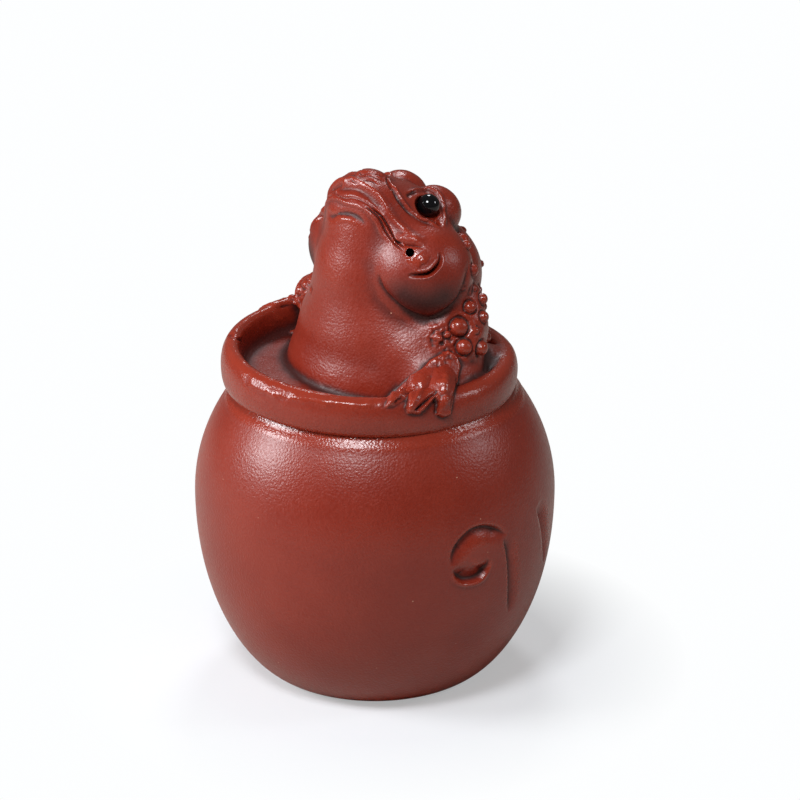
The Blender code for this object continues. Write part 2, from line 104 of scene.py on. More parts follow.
# Above this height the head's crown is pressed flatter by this share
CROWN_HEIGHT = 85.6 * MM
CROWN_PRESS = 0.3

# How finely the clay is modelled
COARSE_GRAIN = 0.7 * MM
FINE_GRAIN = 0.44 * MM
# How a crease is told: smoothing rounds, and the depth that counts as deep
CREASE_ROUNDS = 12
CREASE_DEPTH = 0.12 * MM

# Values that follow
NECK_RADIUS = JAR_RADIUS * math.sqrt(1 - ((NECK_HEIGHT - BELLY_HEIGHT) / SHOULDER_RISE) ** 2)
RIM_RADIUS = NECK_RADIUS + RIM_OVERHANG
RIM_TOP = NECK_HEIGHT + RIM_HEIGHT
RIM_INNER = RIM_RADIUS - RIM_WIDTH
BASIN_FLOOR = RIM_TOP - BASIN_DEPTH
TO_RIGHT = Vector((math.cos(CAMERA_BEARING), math.sin(CAMERA_BEARING), 0))
TO_CAMERA = Vector((math.sin(CAMERA_BEARING), -math.cos(CAMERA_BEARING), 0))
LOOK_BACK = TO_CAMERA * math.cos(CAMERA_RISE) + Vector((0, 0, math.sin(CAMERA_RISE)))
LOOK_UP = LOOK_BACK.cross(TO_RIGHT)
AIM = TO_RIGHT * AIM_RIGHT + Vector((0, 0, AIM_HEIGHT))
EYE_POINT = AIM + LOOK_BACK * CAMERA_DISTANCE
RIM_CENTRE = -TO_RIGHT * RIM_SHIFT
TORSO_AXIS = RIM_CENTRE + Vector((0, TORSO_LEAN, BASIN_FLOOR))
HEAD_CENTRE = TORSO_AXIS + Vector((0, HEAD_SET_BACK, HEAD_RISE))
HEAD_TURN = Matrix.Rotation(HEAD_YAW, 3, "Z") @ Matrix.Rotation(-HEAD_PITCH, 3, "X")


def put(name, bm):
    """Store a finished bmesh as an object of the scene."""
    mesh = bpy.data.meshes.new(name)
    bm.to_mesh(mesh)
    bm.free()
    o = bpy.data.objects.new(name, mesh)
    bpy.context.scene.collection.objects.link(o)
    return o


def settle(o):
    """Apply an object's modifiers."""
    graph = bpy.context.evaluated_depsgraph_get()
    mesh = bpy.data.meshes.new_from_object(o.evaluated_get(graph))
    o.modifiers.clear()
    o.data = mesh
    return o


def discard(o):
    bpy.data.objects.remove(o)


def ball(bm, centre, radii, turn=None, segments=32):
    """An ellipsoid of three half widths, turned by a 3 x 3 matrix."""
    turned = turn.to_4x4() if turn else Matrix.Identity(4)
    place = Matrix.Translation(centre) @ turned @ Matrix.Diagonal((*radii, 1))
    bmesh.ops.create_uvsphere(bm, u_segments=segments, v_segments=segments * 2 // 3, radius=1, matrix=place)


def limb(bm, points, segments=16):
    """A round limb through places with a radius each: balls joined by cones."""
    for centre, radius in points:
        ball(bm, centre, (radius,) * 3, segments=segments)
    for (start, r1), (end, r2) in zip(points, points[1:]):
        along = end - start
        turn = along.to_track_quat("Z", "Y").to_matrix().to_4x4()
        bmesh.ops.create_cone(bm, cap_ends=True, segments=segments, radius1=r1, radius2=r2,
                              depth=along.length, matrix=Matrix.Translation((start + end) / 2) @ turn)


def bend(points, steps):
    """A smooth curve of (place, radius) pairs through the given ones."""
    places = [2 * points[0][0] - points[1][0]] + [p for p, r in points]
    places.append(2 * points[-1][0] - points[-2][0])
    radii = [points[0][1]] + [r for p, r in points] + [points[-1][1]]
    curve = []
    for i in range(1, len(places) - 2):
        a, b, c, d = places[i - 1:i + 3]
        for k in range(steps):
            t = k / steps
            place = ((2 * b) + (c - a) * t + (2 * a - 5 * b + 4 * c - d) * t ** 2
                     + (3 * b - a - 3 * c + d) * t ** 3) / 2
            curve.append((place, radii[i] + (radii[i + 1] - radii[i]) * t))
    return curve + [points[-1]]


def fuse(o, grain, rounds):
    """Melt an object's overlapping shapes into one skin and soften it."""
    skin = o.modifiers.new("skin", "REMESH")
    skin.mode = "VOXEL"
    skin.voxel_size = grain
    if rounds:
        soft = o.modifiers.new("soft", "SMOOTH")
        soft.factor = 0.5
        soft.iterations = rounds
    return settle(o)


def add(o, bm):
    """Add a bmesh's shapes to an object's mesh."""
    extra = bpy.data.meshes.new("extra")
    bm.to_mesh(extra)
    bm.free()
    both = bmesh.new()
    both.from_mesh(o.data)
    both.from_mesh(extra)
    both.to_mesh(o.data)
    both.free()
    bpy.data.meshes.remove(extra)


def cut(o, cutter):
    """Cut an object by another, which is then thrown away."""
    bm = bmesh.new()
    bm.from_mesh(o.data)
    bmesh.ops.triangulate(bm, faces=bm.faces)
    bm.to_mesh(o.data)
    bm.free()
    b = o.modifiers.new("cut", "BOOLEAN")
    b.operation = "DIFFERENCE"
    b.solver = "MANIFOLD"
    b.object = cutter
    settle(o)
    discard(cutter)
    return o


def on_head(left, forward, up):
    """A place counted in millimetres from the middle of the head."""
    return HEAD_CENTRE + HEAD_TURN @ Vector((left, -forward, up)) * MM


def on_torso(left, back, up):
    return TORSO_AXIS + Vector((left, back, up)) * MM


def mirrored_on_head(place):
    """The same place on the other half of the head."""
    local = HEAD_TURN.inverted() @ (place - HEAD_CENTRE)
    return HEAD_CENTRE + HEAD_TURN @ Vector((-local.x, local.y, local.z))


def mirrored_on_torso(place):
    return Vector((2 * TORSO_AXIS.x - place.x, place.y, place.z))


def rim_frame():
    """Where the rim's own frame lies: shifted, and tilted so that one side stands higher."""
    pivot = RIM_CENTRE + Vector((0, 0, NECK_HEIGHT))
    return Matrix.Translation(pivot) @ Matrix.Rotation(-RIM_TILT, 4, TO_CAMERA)


def on_rim(bearing, outward, above):
    """A place at a bearing from straight ahead, so far beyond the roll's middle and above its top."""
    radius = RIM_RADIUS - RIM_WIDTH / 2 + outward
    return rim_frame() @ Vector((math.sin(bearing) * radius, -math.cos(bearing) * radius, RIM_HEIGHT + above))


def sight(across, down):
    """The direction in which a pixel of the photograph lies."""
    focal = LENS / SENSOR * IMAGE
    middle = IMAGE / 2
    ahead = TO_RIGHT * ((across - middle) / focal) + LOOK_UP * ((middle - down) / focal) - LOOK_BACK
    return ahead.normalized()


def projected(places):
    """Where places appear in the photograph, in pixels."""
    apart = places - np.array(EYE_POINT)
    scale = LENS / SENSOR * IMAGE / -(apart @ np.array(LOOK_BACK))
    across = apart @ np.array(TO_RIGHT) * scale
    up = apart @ np.array(LOOK_UP) * scale
    return IMAGE / 2 + np.stack([across, -up], axis=1)


def moved(places, place):
    """An array of places or directions moved by a 4 x 4 matrix."""
    m = np.array(place)
    return places @ m[:3, :3].T + m[:3, 3]


class Skin:
    """A mesh's skin as arrays, whose points can be pushed along their normals."""

    def __init__(self, o):
        self.o = o
        self.take()

    def take(self):
        """Read the places, the normals and the edges from the mesh."""
        mesh = self.o.data
        count = len(mesh.vertices)
        self.places = np.empty(count * 3)
        mesh.vertices.foreach_get("co", self.places)
        self.places = self.places.reshape(-1, 3)
        self.normals = np.empty(count * 3)
        mesh.vertex_normals.foreach_get("vector", self.normals)
        self.normals = self.normals.reshape(-1, 3)
        edges = np.empty(len(mesh.edges) * 2, dtype=np.int64)
        mesh.edges.foreach_get("vertices", edges)
        self.edges = edges.reshape(-1, 2)
        self.degree = np.bincount(edges, minlength=count).astype(float)
        corners = [p.vertices[:] for p in mesh.polygons]
        self.tree = BVHTree.FromPolygons([v.co for v in mesh.vertices], corners)

    def give(self):
        """Write the places back to the mesh and read the new normals."""
        self.o.data.vertices.foreach_set("co", self.places.ravel())
        self.o.data.update()
        self.take()

    def seen(self, pixels):
        """The places on the skin that the camera sees at these pixels of the photograph."""
        hits = [self.tree.ray_cast(EYE_POINT, sight(*pixel))[0] for pixel in pixels]
        return [hit for hit in hits if hit is not None]

    def laid(self, places, steps=5):
        """A smooth line through places, laid on the skin."""
        line = [p for p, r in bend([(place, 1.0) for place in places], steps)]
        return np.array([self.tree.find_nearest(p)[0] for p in line])

    def beside(self, line, reach):
        """The points within reach of a line: their distance, their side and their share of its length."""
        low = line.min(axis=0) - reach
        high = line.max(axis=0) + reach
        near = np.nonzero(np.all((self.places > low) & (self.places < high), axis=1))[0]
        places = self.places[near]
        distance = np.full(len(near), np.inf)
        side = np.zeros(len(near))
        share = np.zeros(len(near))
        lengths = np.linalg.norm(np.diff(line, axis=0), axis=1)
        whole = max(lengths.sum(), 1e-9)
        run = 0.0
        for a, b, length in zip(line[:-1], line[1:], lengths):
            if length < 1e-9:
                continue
            along = b - a
            t = np.clip((places - a) @ along / length ** 2, 0, 1)
            apart = places - a - t[:, None] * along
            d = np.linalg.norm(apart, axis=1)
            closer = d < distance
            distance[closer] = d[closer]
            across = np.cross(self.normals[near], along)
            side[closer] = np.einsum("ij,ij->i", apart, across)[closer]
            share[closer] = ((run + t * length) / whole)[closer]
            run += length
        kept = distance < reach
        return near[kept], distance[kept], np.sign(side[kept]), share[kept]

    def refine(self, lines, reach):
        """Split the edges near some lines, so that finer marks can be cut there."""
        close = np.zeros(len(self.places), dtype=bool)
        for line in lines:
            close[self.beside(self.laid(line), reach)[0]] = True
        bm = bmesh.new()
        bm.from_mesh(self.o.data)
        bm.edges.ensure_lookup_table()
        chosen = [bm.edges[i] for i in np.nonzero(close[self.edges].all(axis=1))[0]]
        bmesh.ops.subdivide_edges(bm, edges=chosen, cuts=1, use_grid_fill=True)
        bm.to_mesh(self.o.data)
        bm.free()
        self.take()

    def patch(self, outline, height, edge, middle, reach, place=None):
        """Raise the skin near a place inside an outline of pixels.

        A matrix carries the place's points to where the outline is drawn.
        """
        near = np.nonzero(np.linalg.norm(self.places - np.array(middle), axis=1) < reach)[0]
        shown = self.places[near]
        facing = self.normals[near]
        if place:
            shown = moved(shown, place)
            facing = facing @ np.array(place)[:3, :3].T
        p = projected(shown)
        depth = np.full(len(near), np.inf)
        inside = np.zeros(len(near), dtype=bool)
        for (x1, y1), (x2, y2) in zip(outline, outline[1:] + outline[:1]):
            along = np.array([x2 - x1, y2 - y1], dtype=float)
            t = np.clip((p - (x1, y1)) @ along / (along @ along), 0, 1)
            depth = np.minimum(depth, np.linalg.norm(p - (x1, y1) - t[:, None] * along, axis=1))
            if y1 != y2:
                crossed = (p[:, 1] > y1) != (p[:, 1] > y2)
                inside ^= crossed & (p[:, 0] < x1 + (p[:, 1] - y1) * (x2 - x1) / (y2 - y1))
        t = np.clip(0.5 + np.where(inside, depth, -depth) / edge, 0, 1)
        front = facing @ np.array(LOOK_BACK) > -0.3
        self.push(near, height * t * t * (3 - 2 * t) * front)

    def bowl(self, centre, axis, radius, sink, rise):
        """Press a bowl round a place: its floor is sunk below it, its edge stands above it, along an axis."""
        axis = np.array(axis)
        apart = self.places - np.array(centre)
        up = apart @ axis
        across = np.linalg.norm(apart - up[:, None] * axis, axis=1) / radius
        near = np.nonzero((across < 1.4) & (np.abs(up) < 2.5 * radius))[0]
        across = across[near]
        floor = -sink + (rise + sink) * across ** 2
        share = np.clip((1.4 - across) / 0.4, 0, 1)
        drop = np.minimum(floor - up[near], 0) * share * share * (3 - 2 * share)
        self.places[near] += axis * drop[:, None]

    def push(self, near, by):
        self.places[near] += self.normals[near] * by[:, None]

    def groove(self, places, width, depth, lip=0.0, fade=0.1, steps=5):
        """A groove with rounded banks, or a ridge where the depth is negative, which fades at its ends."""
        line = self.laid(places, steps)
        near, distance, side, share = self.beside(line, 3 * width)
        x = distance / width
        ends = np.clip(np.minimum(share, 1 - share) / max(fade, 1e-6), 0, 1)
        self.push(near, ends * (-depth * np.exp(-2 * x ** 2) + lip * np.exp(-6 * (x - 1.5) ** 2)))

    def scoop(self, places, depth, slope, wall, fade=0.1, steps=5):
        """A cut with a steep wall along a line and a long slope on its left, as seen from outside."""
        line = self.laid(places, steps)
        near, distance, side, share = self.beside(line, 2.5 * slope)
        fall = np.exp(-(distance / np.where(side > 0, slope, wall)) ** 2)
        ends = np.clip(np.minimum(share, 1 - share) / max(fade, 1e-6), 0, 1)
        self.push(near, -depth * ends * fall)

    def fold(self, places, sharp, depth, roll, height, fade=0.1, steps=5):
        """A sharp cut with a swollen roll of clay on its left, as seen along the line from outside."""
        line = self.laid(places, steps)
        near, distance, side, share = self.beside(line, 3 * abs(roll) + 3 * sharp)
        s = distance * side * math.copysign(1, roll)
        ends = np.clip(np.minimum(share, 1 - share) / max(fade, 1e-6), 0, 1)
        swell = height * np.exp(-((s - abs(roll)) / abs(roll)) ** 2) * (s > -0.4 * sharp)
        self.push(near, ends * (swell - depth * np.exp(-distance / sharp)))

    def lump(self, place, radius, height, moat=0.0):
        """A round wart with a sunk ring round it."""
        centre = np.array(self.tree.find_nearest(place)[0])
        x = np.linalg.norm(self.places - centre, axis=1) / radius
        near = np.nonzero(x < 2)[0]
        x = x[near]
        dome = height * np.sqrt(np.clip(1 - x ** 2, 0, 1))
        self.push(near, dome - moat * np.exp(-((x - 1.12) / 0.2) ** 2))

    def relax(self, weight, rounds):
        """Smooth the skin where the weight of its points is above 0."""
        first, second = self.edges.T
        count = len(self.places)
        for _ in range(rounds):
            for axis in range(3):
                value = self.places[:, axis]
                total = (np.bincount(first, value[second], count) + np.bincount(second, value[first], count))
                self.places[:, axis] += 0.5 * weight * (total / self.degree - value)

    def hollows(self, rounds, depth):
        """How far each point lies below the smoothed skin, from -1 on edges to 1 in creases."""
        before = self.places.copy()
        self.relax(np.ones(len(before)), rounds)
        sunk = np.einsum("ij,ij->i", self.places - before, self.normals) / depth
        self.places = before
        return np.clip(sunk, -1, 1)

    def store(self, name, values):
        """Keep a value for each point as an attribute that a material can read."""
        attribute = self.o.data.attributes.new(name, "FLOAT", "POINT")
        attribute.data.foreach_set("value", values.astype(np.float32))


def torso_masses(bm):
    """The seat in the basin, the belly, the back, the nape, the throat's column and the shoulders."""
    ball(bm, on_torso(0, -1.2, 0), (18.0 * MM, 15.6 * MM, 12 * MM))
    ball(bm, on_torso(0, -1.0, 6), (15.6 * MM, 14.2 * MM, 13 * MM))
    ball(bm, on_torso(0, -1.6, 10), (13.0 * MM, 12.6 * MM, 12 * MM))
    ball(bm, on_torso(0, 1.8, 11), (14 * MM, 12.2 * MM, 12 * MM))
    ball(bm, on_torso(0, 4.6, 15.4), (12.6 * MM, 11.0 * MM, 10.0 * MM))
    ball(bm, on_torso(0, -2.6, 15), (10.8 * MM, 10.8 * MM, 15 * MM))
    ball(bm, on_torso(9.6, -0.6, 4.0), (8.4 * MM, 11.0 * MM, 10.0 * MM))
    ball(bm, on_torso(11.5, 1.4, 8.0), (7.0 * MM, 8.0 * MM, 8.0 * MM))
    ball(bm, on_torso(14.6, -1.6, 2.4), (6.6 * MM, 8.2 * MM, 6.4 * MM))
    ball(bm, on_torso(-10.5, 1.0, 4.0), (7.0 * MM, 9.5 * MM, 9.5 * MM))
    ball(bm, on_torso(13.6, 3.2, 9.4), (5.0 * MM, 5.4 * MM, 7.0 * MM))
    ball(bm, on_torso(-13.4, 1.6, 8.5), (4.6 * MM, 5.0 * MM, 6.0 * MM))


def head_masses(bm):
    """The skull, the broad muzzle, the jaw, the throat's sac and the puffed cheeks."""
    ball(bm, on_head(0, -3.0, -3.3), (10.6 * MM, 9.6 * MM, 6.2 * MM), HEAD_TURN)
    ball(bm, on_head(0, 3.2, -4.6), (8.4 * MM, 7.0 * MM, 5.0 * MM), HEAD_TURN)
    ball(bm, on_head(0, 0.6, -8.8), (8.0 * MM, 7.6 * MM, 4.8 * MM), HEAD_TURN)
    ball(bm, on_head(0, -1.6, -11.0), (8.6 * MM, 8.0 * MM, 6.2 * MM), HEAD_TURN)
    for side in (1, -1):
        ball(bm, on_head(3.1 * side, 3.2, -5.9), (5.3 * MM, 6.2 * MM, 4.4 * MM), HEAD_TURN)
    ball(bm, on_head(6.6, -0.4, -7.2), (5.4 * MM, 6.4 * MM, 5.4 * MM), HEAD_TURN)
    ball(bm, on_head(-6.2, -0.8, -7.2), (4.8 * MM, 5.8 * MM, 5.2 * MM), HEAD_TURN)
    ball(bm, on_head(9.2, -4.2, -9.6), (8.9 * MM, 8.6 * MM, 8.4 * MM), HEAD_TURN)
    ball(bm, on_head(-8.4, -4.8, -9.3), (7.2 * MM, 7.4 * MM, 7.2 * MM), HEAD_TURN)


def head_features(bm):
    """The eye bulges and the nose."""
    ball(bm, on_head(4.4, -4.7, 1.0), (4.2 * MM, 4.7 * MM, 4.0 * MM), HEAD_TURN)
    ball(bm, on_head(-4.2, -5.0, 1.6), (4.2 * MM, 4.9 * MM, 4.1 * MM), HEAD_TURN)
    ball(bm, on_head(0, 6.4, -1.5), (3.3 * MM, 2.9 * MM, 2.0 * MM), HEAD_TURN)


def upper_arm(o, shoulder, elbow, wrist, palm):
    """An arm that tapers from the shoulder to the palm."""
    bm = bmesh.new()
    limb(bm, bend([(shoulder, 4.6 * MM), (elbow, 3.7 * MM), (wrist, 2.6 * MM), (palm, 1.9 * MM)], 4))
    add(o, bm)


# The left arm and hand as the photograph's pixels, and where clay fills the basin beside the arm
WRIST = (461, 350)
PALM = (443, 364)
FIRST_ROOT = (421, 389)
LAST_ROOT = (441, 391)
BESIDE_ARM = ((468, 373), (482, 364))
BACK_OF_HAND = (432, 388)


def over_rim(pixel, height):
    """The place at a height above the rim's top that the camera sees at a pixel."""
    up = rim_frame().to_3x3() @ Vector((0, 0, 1))
    top = rim_frame() @ Vector((0, 0, RIM_HEIGHT + height))
    ahead = sight(*pixel)
    return EYE_POINT + ahead * ((top - EYE_POINT).dot(up) / ahead.dot(up))


def left_palm(o):
    """The left hand's roots of toes, and the clay that fills the basin beside the arm."""
    for root, above in ((FIRST_ROOT, -0.9), (LAST_ROOT, -0.8)):
        bm = bmesh.new()
        limb(bm, bend([(over_rim(WRIST, 2.2 * MM), 2.6 * MM), (over_rim(PALM, 0.8 * MM), 2.2 * MM),
                       (over_rim(root, above * MM), 1.5 * MM)], 4))
        add(o, bm)
    bm = bmesh.new()
    for pixel in BESIDE_ARM:
        ball(bm, over_rim(pixel, -3.1 * MM), (5.2 * MM, 5.2 * MM, 3.2 * MM))
    add(o, bm)


def turned(name, profile, steps, closed=False):
    """A profile of (radius, height) points, from the top down, turned about Z."""
    mesh = bpy.data.meshes.new(name)
    bm = bmesh.new()
    row = [bm.verts.new((r, 0, z)) for r, z in profile]
    for a, b in zip(row, row[1:]):
        bm.edges.new((a, b))
    if closed:
        bm.edges.new((row[-1], row[0]))
    bm.to_mesh(mesh)
    bm.free()
    o = bpy.data.objects.new(name, mesh)
    bpy.context.scene.collection.objects.link(o)
    spin = o.modifiers.new("turn", "SCREW")
    spin.steps = steps
    spin.render_steps = steps
    spin.use_merge_vertices = True
    spin.merge_threshold = 0.00001
    return settle(o)


def rim_profile():
    """The roll's section in the rim's own frame, from the basin's middle over the roll to under the basin."""
    r, w, h = RIM_RADIUS, RIM_WIDTH, RIM_HEIGHT
    floor = h - BASIN_DEPTH
    inside = [(0, floor), (RIM_INNER - 0.35 * w, floor), (RIM_INNER - 0.1 * w, floor + 0.1 * h),
              (RIM_INNER, 0.78 * h), (RIM_INNER + 0.08 * w, 0.92 * h), (RIM_INNER + 0.22 * w, 0.985 * h),
              (RIM_INNER + 0.38 * w, h)]
    outside = [(RIM_INNER + 0.58 * w, 0.98 * h), (RIM_INNER + 0.78 * w, 0.91 * h),
               (RIM_INNER + 0.93 * w, 0.77 * h), (r, 0.55 * h), (r - 0.03 * w, 0.3 * h),
               (r - 0.14 * w, 0.1 * h), (r - 0.34 * w, 0.03 * h), (r - 0.7 * w, 0.01 * h), (0, -0.2 * h)]
    return inside + outside


def swell(rim):
    """Make the roll thicker towards one side and pressed down at the back, as a hand-rolled coil is."""
    for v in rim.data.vertices:
        bearing = math.atan2(v.co.x, -v.co.y) % (2 * math.pi)
        dip = RIM_DIP * math.exp(-((bearing - RIM_DIP_BEARING) / RIM_DIP_SPREAD) ** 2)
        thick = RIM_SWELL * math.cos(bearing - RIM_SWELL_BEARING) - dip
        v.co.z *= 1 + thick * min(1, v.co.xy.length / RIM_INNER)


def melted(name, masses, grain, rounds):
    """An object made of some masses, melted into one skin."""
    bm = bmesh.new()
    masses(bm)
    return fuse(put(name, bm), grain, rounds)


def join(o, other):
    """Add another object's mesh to an object and throw the other away."""
    bm = bmesh.new()
    bm.from_mesh(other.data)
    discard(other)
    add(o, bm)


def build_top():
    """The toad, the rim and the basin's floor as one skin."""
    rim_piece = turned("rim", rim_profile(), RIM_STEPS)
    swell(rim_piece)
    rim_piece.data.transform(rim_frame())
    top = melted("toad_and_rim", torso_masses, COARSE_GRAIN, 25)
    join(top, melted("head", head_masses, COARSE_GRAIN, 25))
    fuse(top, COARSE_GRAIN, 10)
    join(top, melted("features", head_features, COARSE_GRAIN, 2))
    upper_arm(top, on_torso(12.5, 3.6, 13.4), on_torso(15.6, 2.6, 9.4), over_rim(WRIST, 3.0 * MM),
              over_rim(PALM, 1.3 * MM))
    upper_arm(top, on_torso(-13.3, 1.2, 9.4), on_torso(-18.4, -1.1, 6.9),
              on_rim(RIGHT_BEARING - RIGHT_WRIST_TURN, -2.2 * MM, -0.8 * MM),
              on_rim(RIGHT_BEARING, -0.4 * MM, -1.6 * MM))
    left_palm(top)
    join(top, rim_piece)
    fuse(top, FINE_GRAIN, 6)
    return top


# Lines on the left half of the head, as the photograph's pixels
LIP_RIDGE = ((345, 180), (352, 178), (364, 184), (376, 192), (384, 203), (393, 218), (404, 229), (416, 240),
             (423, 247))
LIP_HOLLOW = ((339, 188), (354, 188.6), (367, 195), (377, 205), (383, 215))
MOUTH = ((343, 197.7), (354, 198), (370, 205), (381.4, 216.4), (388.6, 227.9), (395.7, 240.7), (404.3, 246.4))
LOWER_LIP = ((365, 206), (371.4, 210.7), (378.6, 217.9), (385.7, 232), (392.9, 242), (402.9, 250.7))
LIP_ROLL = ((347, 203), (358, 205.5), (368, 212), (376, 221), (382, 233), (389, 243.5))
UNDER_LIP = ((331.4, 216.4), (340, 213.6), (350, 214.3), (360, 219.3), (365.7, 226.4))
UNDER_LIP_BANK = ((341, 218.5), (350, 219.5), (358.6, 223.6))
NOSE_VALLEY = ((385.5, 171.5), (387, 175.6), (388.6, 183.6), (392, 190.3))
NOSE_WRINKLES = (((354, 178), (367, 175), (378.6, 179), (385, 183.6)),
                 ((358.6, 182.5), (370, 180.7), (378.6, 185.7)),
                 ((361, 174), (370, 171.5), (380, 174.5), (386, 179)))
NOSE_TOP = ((356.5, 172.8), (362, 169.8), (368.6, 169), (378, 171.2), (384.5, 175))
LOWER_LID = ((390, 182), (398.6, 195), (408.6, 209.3), (418.6, 217.9), (430, 223.6), (441.4, 229.3))
LOWER_LID_GROOVE = ((391.5, 188), (397, 198), (405, 208.5), (412, 216))
UPPER_LID = ((407, 195), (411.4, 191.2), (418.6, 189.4), (427, 188.2), (437, 191.6), (442.4, 200.7),
             (443.6, 209.3), (444.6, 219.3), (442.6, 228))
LID_RIM = ((413.6, 211.4), (418.6, 217.4), (427, 220.3), (437, 218.6), (441, 214.5))
EYE_CORNER = ((429, 220), (435, 221.5), (440.6, 226.6))
EYE_RECESS = ((407.5, 198), (410, 193.5), (417, 190.8))
MOUTH_FOLD = ((395.7, 239.5), (404, 243.6), (414, 245), (424, 248))
CRESCENT = ((439.5, 252), (440.6, 260.7), (434.8, 269.3), (425.7, 274.6), (407.5, 275.4))
PINHOLE = (410, 252.4)
CHEEK_PAD = ((418, 256), (424, 262))
POUCH_EDGE = ((378, 272), (383, 290), (396.5, 305.5), (411.4, 315), (427, 320), (444.3, 314), (459, 300),
              (467, 278), (468.6, 262))
POUCH_SHADE = ((386, 277), (397, 291), (411, 300), (426, 304), (440, 300), (452, 290), (460, 277))

# The left hand as pixels: its outline, then the toes' grooves and crests, with width and depth in millimetres
HAND = [(441, 355), (430, 361.5), (421, 371.5), (404, 384), (391, 396), (386.5, 406.5), (393, 405.5),
        (402, 400), (408, 397), (408, 401), (406.5, 408), (407.5, 412.5), (413, 413), (418.5, 413.5),
        (425, 408), (433.5, 399), (437, 402), (436.5, 414), (442, 416.5), (449, 414), (452.5, 396),
        (456, 378), (459, 366), (456, 356), (448, 352)]
TOE_GROOVES = ((((437.5, 390), (427, 400), (414, 412.5)), 0.34, 0.95),
               (((418, 384.6), (405, 394), (391.5, 404.5)), 0.28, 0.45),
               (((434, 398), (436, 405), (435.5, 414)), 0.28, 0.35),
               (((457.2, 377), (453.6, 396), (450, 413)), 0.34, 0.4))
TOE_CRESTS = ((((424, 375), (406, 388), (389, 404)), 0.5, -0.3),
              (((423, 385), (417, 397), (409, 411)), 0.45, -0.3),
              (((437, 394), (428, 403), (418.5, 412)), 0.35, -0.25),
              (((446, 372), (446, 390), (443.5, 411)), 0.8, -0.3))
# Knuckles and warts as pixels with a radius and a height in millimetres
KNUCKLES = (((443, 382), 0.95, 0.22), ((442.3, 390.5), 0.8, 0.25), ((446.3, 399.5), 0.8, 0.3),
            ((434, 372), 1.0, 0.1))

# The rim: the crease where the coil's ends meet and the worn edge on the front of its top
COIL_END = ((228, 334), (235, 338), (243, 341))
RIM_EDGE = ((247, 381), (258, 388), (272, 393), (290, 397), (312, 400), (335, 402.5), (360, 404), (384, 404))

# The warts that stand beside the left arm, the eight that show best first
NEAR_WARTS = (((459, 327), 1.45, 1.15), ((464, 347), 1.25, 1.15), ((481, 348), 1.25, 1.1),
              ((470, 307), 1.0, 0.8), ((466, 245), 0.85, 0.8), ((473, 270), 1.05, 0.9),
              ((482, 299), 0.95, 0.9), ((483, 317), 0.95, 0.95), ((462, 288), 0.6, 0.35),
              ((474, 288), 0.55, 0.4), ((447, 335), 0.6, 0.4), ((476, 330), 0.6, 0.4))
BIG_WARTS = 8
# The warts on the right shoulder, as far as the head and the chest leave it free
FAR_WARTS = (((311, 280), 0.8, 0.4), ((305, 284), 0.75, 0.4), ((299, 290), 0.8, 0.4), ((292, 297), 0.75, 0.4),
             ((305, 293), 0.6, 0.25), ((297, 301), 0.55, 0.25), ((311, 290), 0.5, 0.2),
             ((301, 306), 0.5, 0.2))
# Places beside the left arm where the clay is crumbly, as pixels with a reach in millimetres
CRUMBLY = (((441, 333), 2.6), ((436, 341), 2.2), ((449, 343), 2.4), ((450, 356), 2.2), ((440, 362), 1.5),
           ((462, 316), 1.6), ((477, 326), 2.0), ((470, 290), 1.8))
CRUMBLY_LINE = ((436, 330), (448, 342), (446, 360), (438, 364))


def both_halves(skin, pixels):
    """A line on the left half of the head and its mirror image on the right one."""
    left = skin.seen(pixels)
    return left, [mirrored_on_head(place) for place in left]


def right_across(skin, pixels):
    """A line over the head's front, drawn where it is seen and mirrored where the head hides it."""
    seen = skin.seen(pixels)
    left = [(HEAD_TURN.inverted() @ (place - HEAD_CENTRE)).x for place in seen]
    shown = max(0, -min(left)) + 0.6 * MM
    return [mirrored_on_head(place) for place, x in zip(seen, left) if x > shown][::-1] + seen


def hand_mirror():
    """Carries the right hand's places to where the left hand's lie."""
    turn = Matrix.Rotation(LEFT_BEARING + RIGHT_BEARING, 4, "Z") @ Matrix.Diagonal((-1, 1, 1, 1))
    return rim_frame() @ turn @ rim_frame().inverted()


def carve_hands(skin):
    """Flat hands with four toes each, pressed on to the rim."""
    carry = hand_mirror()
    middle = over_rim(BACK_OF_HAND, 0)
    for place, middle, height in ((None, middle, 0.9), (carry, carry.inverted() @ middle, 0.45)):
        skin.patch(HAND, height * MM, 4.0, middle, 11 * MM, place)
    skin.give()
    for pixels, width, depth in TOE_CRESTS + TOE_GROOVES:
        places = skin.seen(pixels)
        skin.groove(places, width * MM, depth * MM, 0, 0.15)
        skin.groove([carry.inverted() @ p for p in places], width * MM, 0.4 * depth * MM, 0, 0.15)
    for pixel, radius, height in KNUCKLES:
        for place in skin.seen([pixel]):
            skin.lump(place, radius * MM, height * MM)
    skin.give()


def carve_rim(skin):
    """The crease where the coil's ends meet and the worn, uneven edge along the front of its top."""
    skin.groove(skin.seen(COIL_END), 0.34 * MM, 0.5 * MM, 0.1 * MM, 0.15)
    rng = np.random.default_rng(3)
    edge = skin.seen(RIM_EDGE)
    skin.groove(edge, 0.6 * MM, -0.16 * MM, 0, 0.1)
    for place in skin.laid(edge, 7):
        dent = Vector(place) + Vector(rng.uniform(-0.5, 0.5, 3)) * MM
        skin.lump(dent, rng.uniform(0.5, 1.1) * MM, rng.uniform(-0.09, 0.06) * MM)
    skin.give()


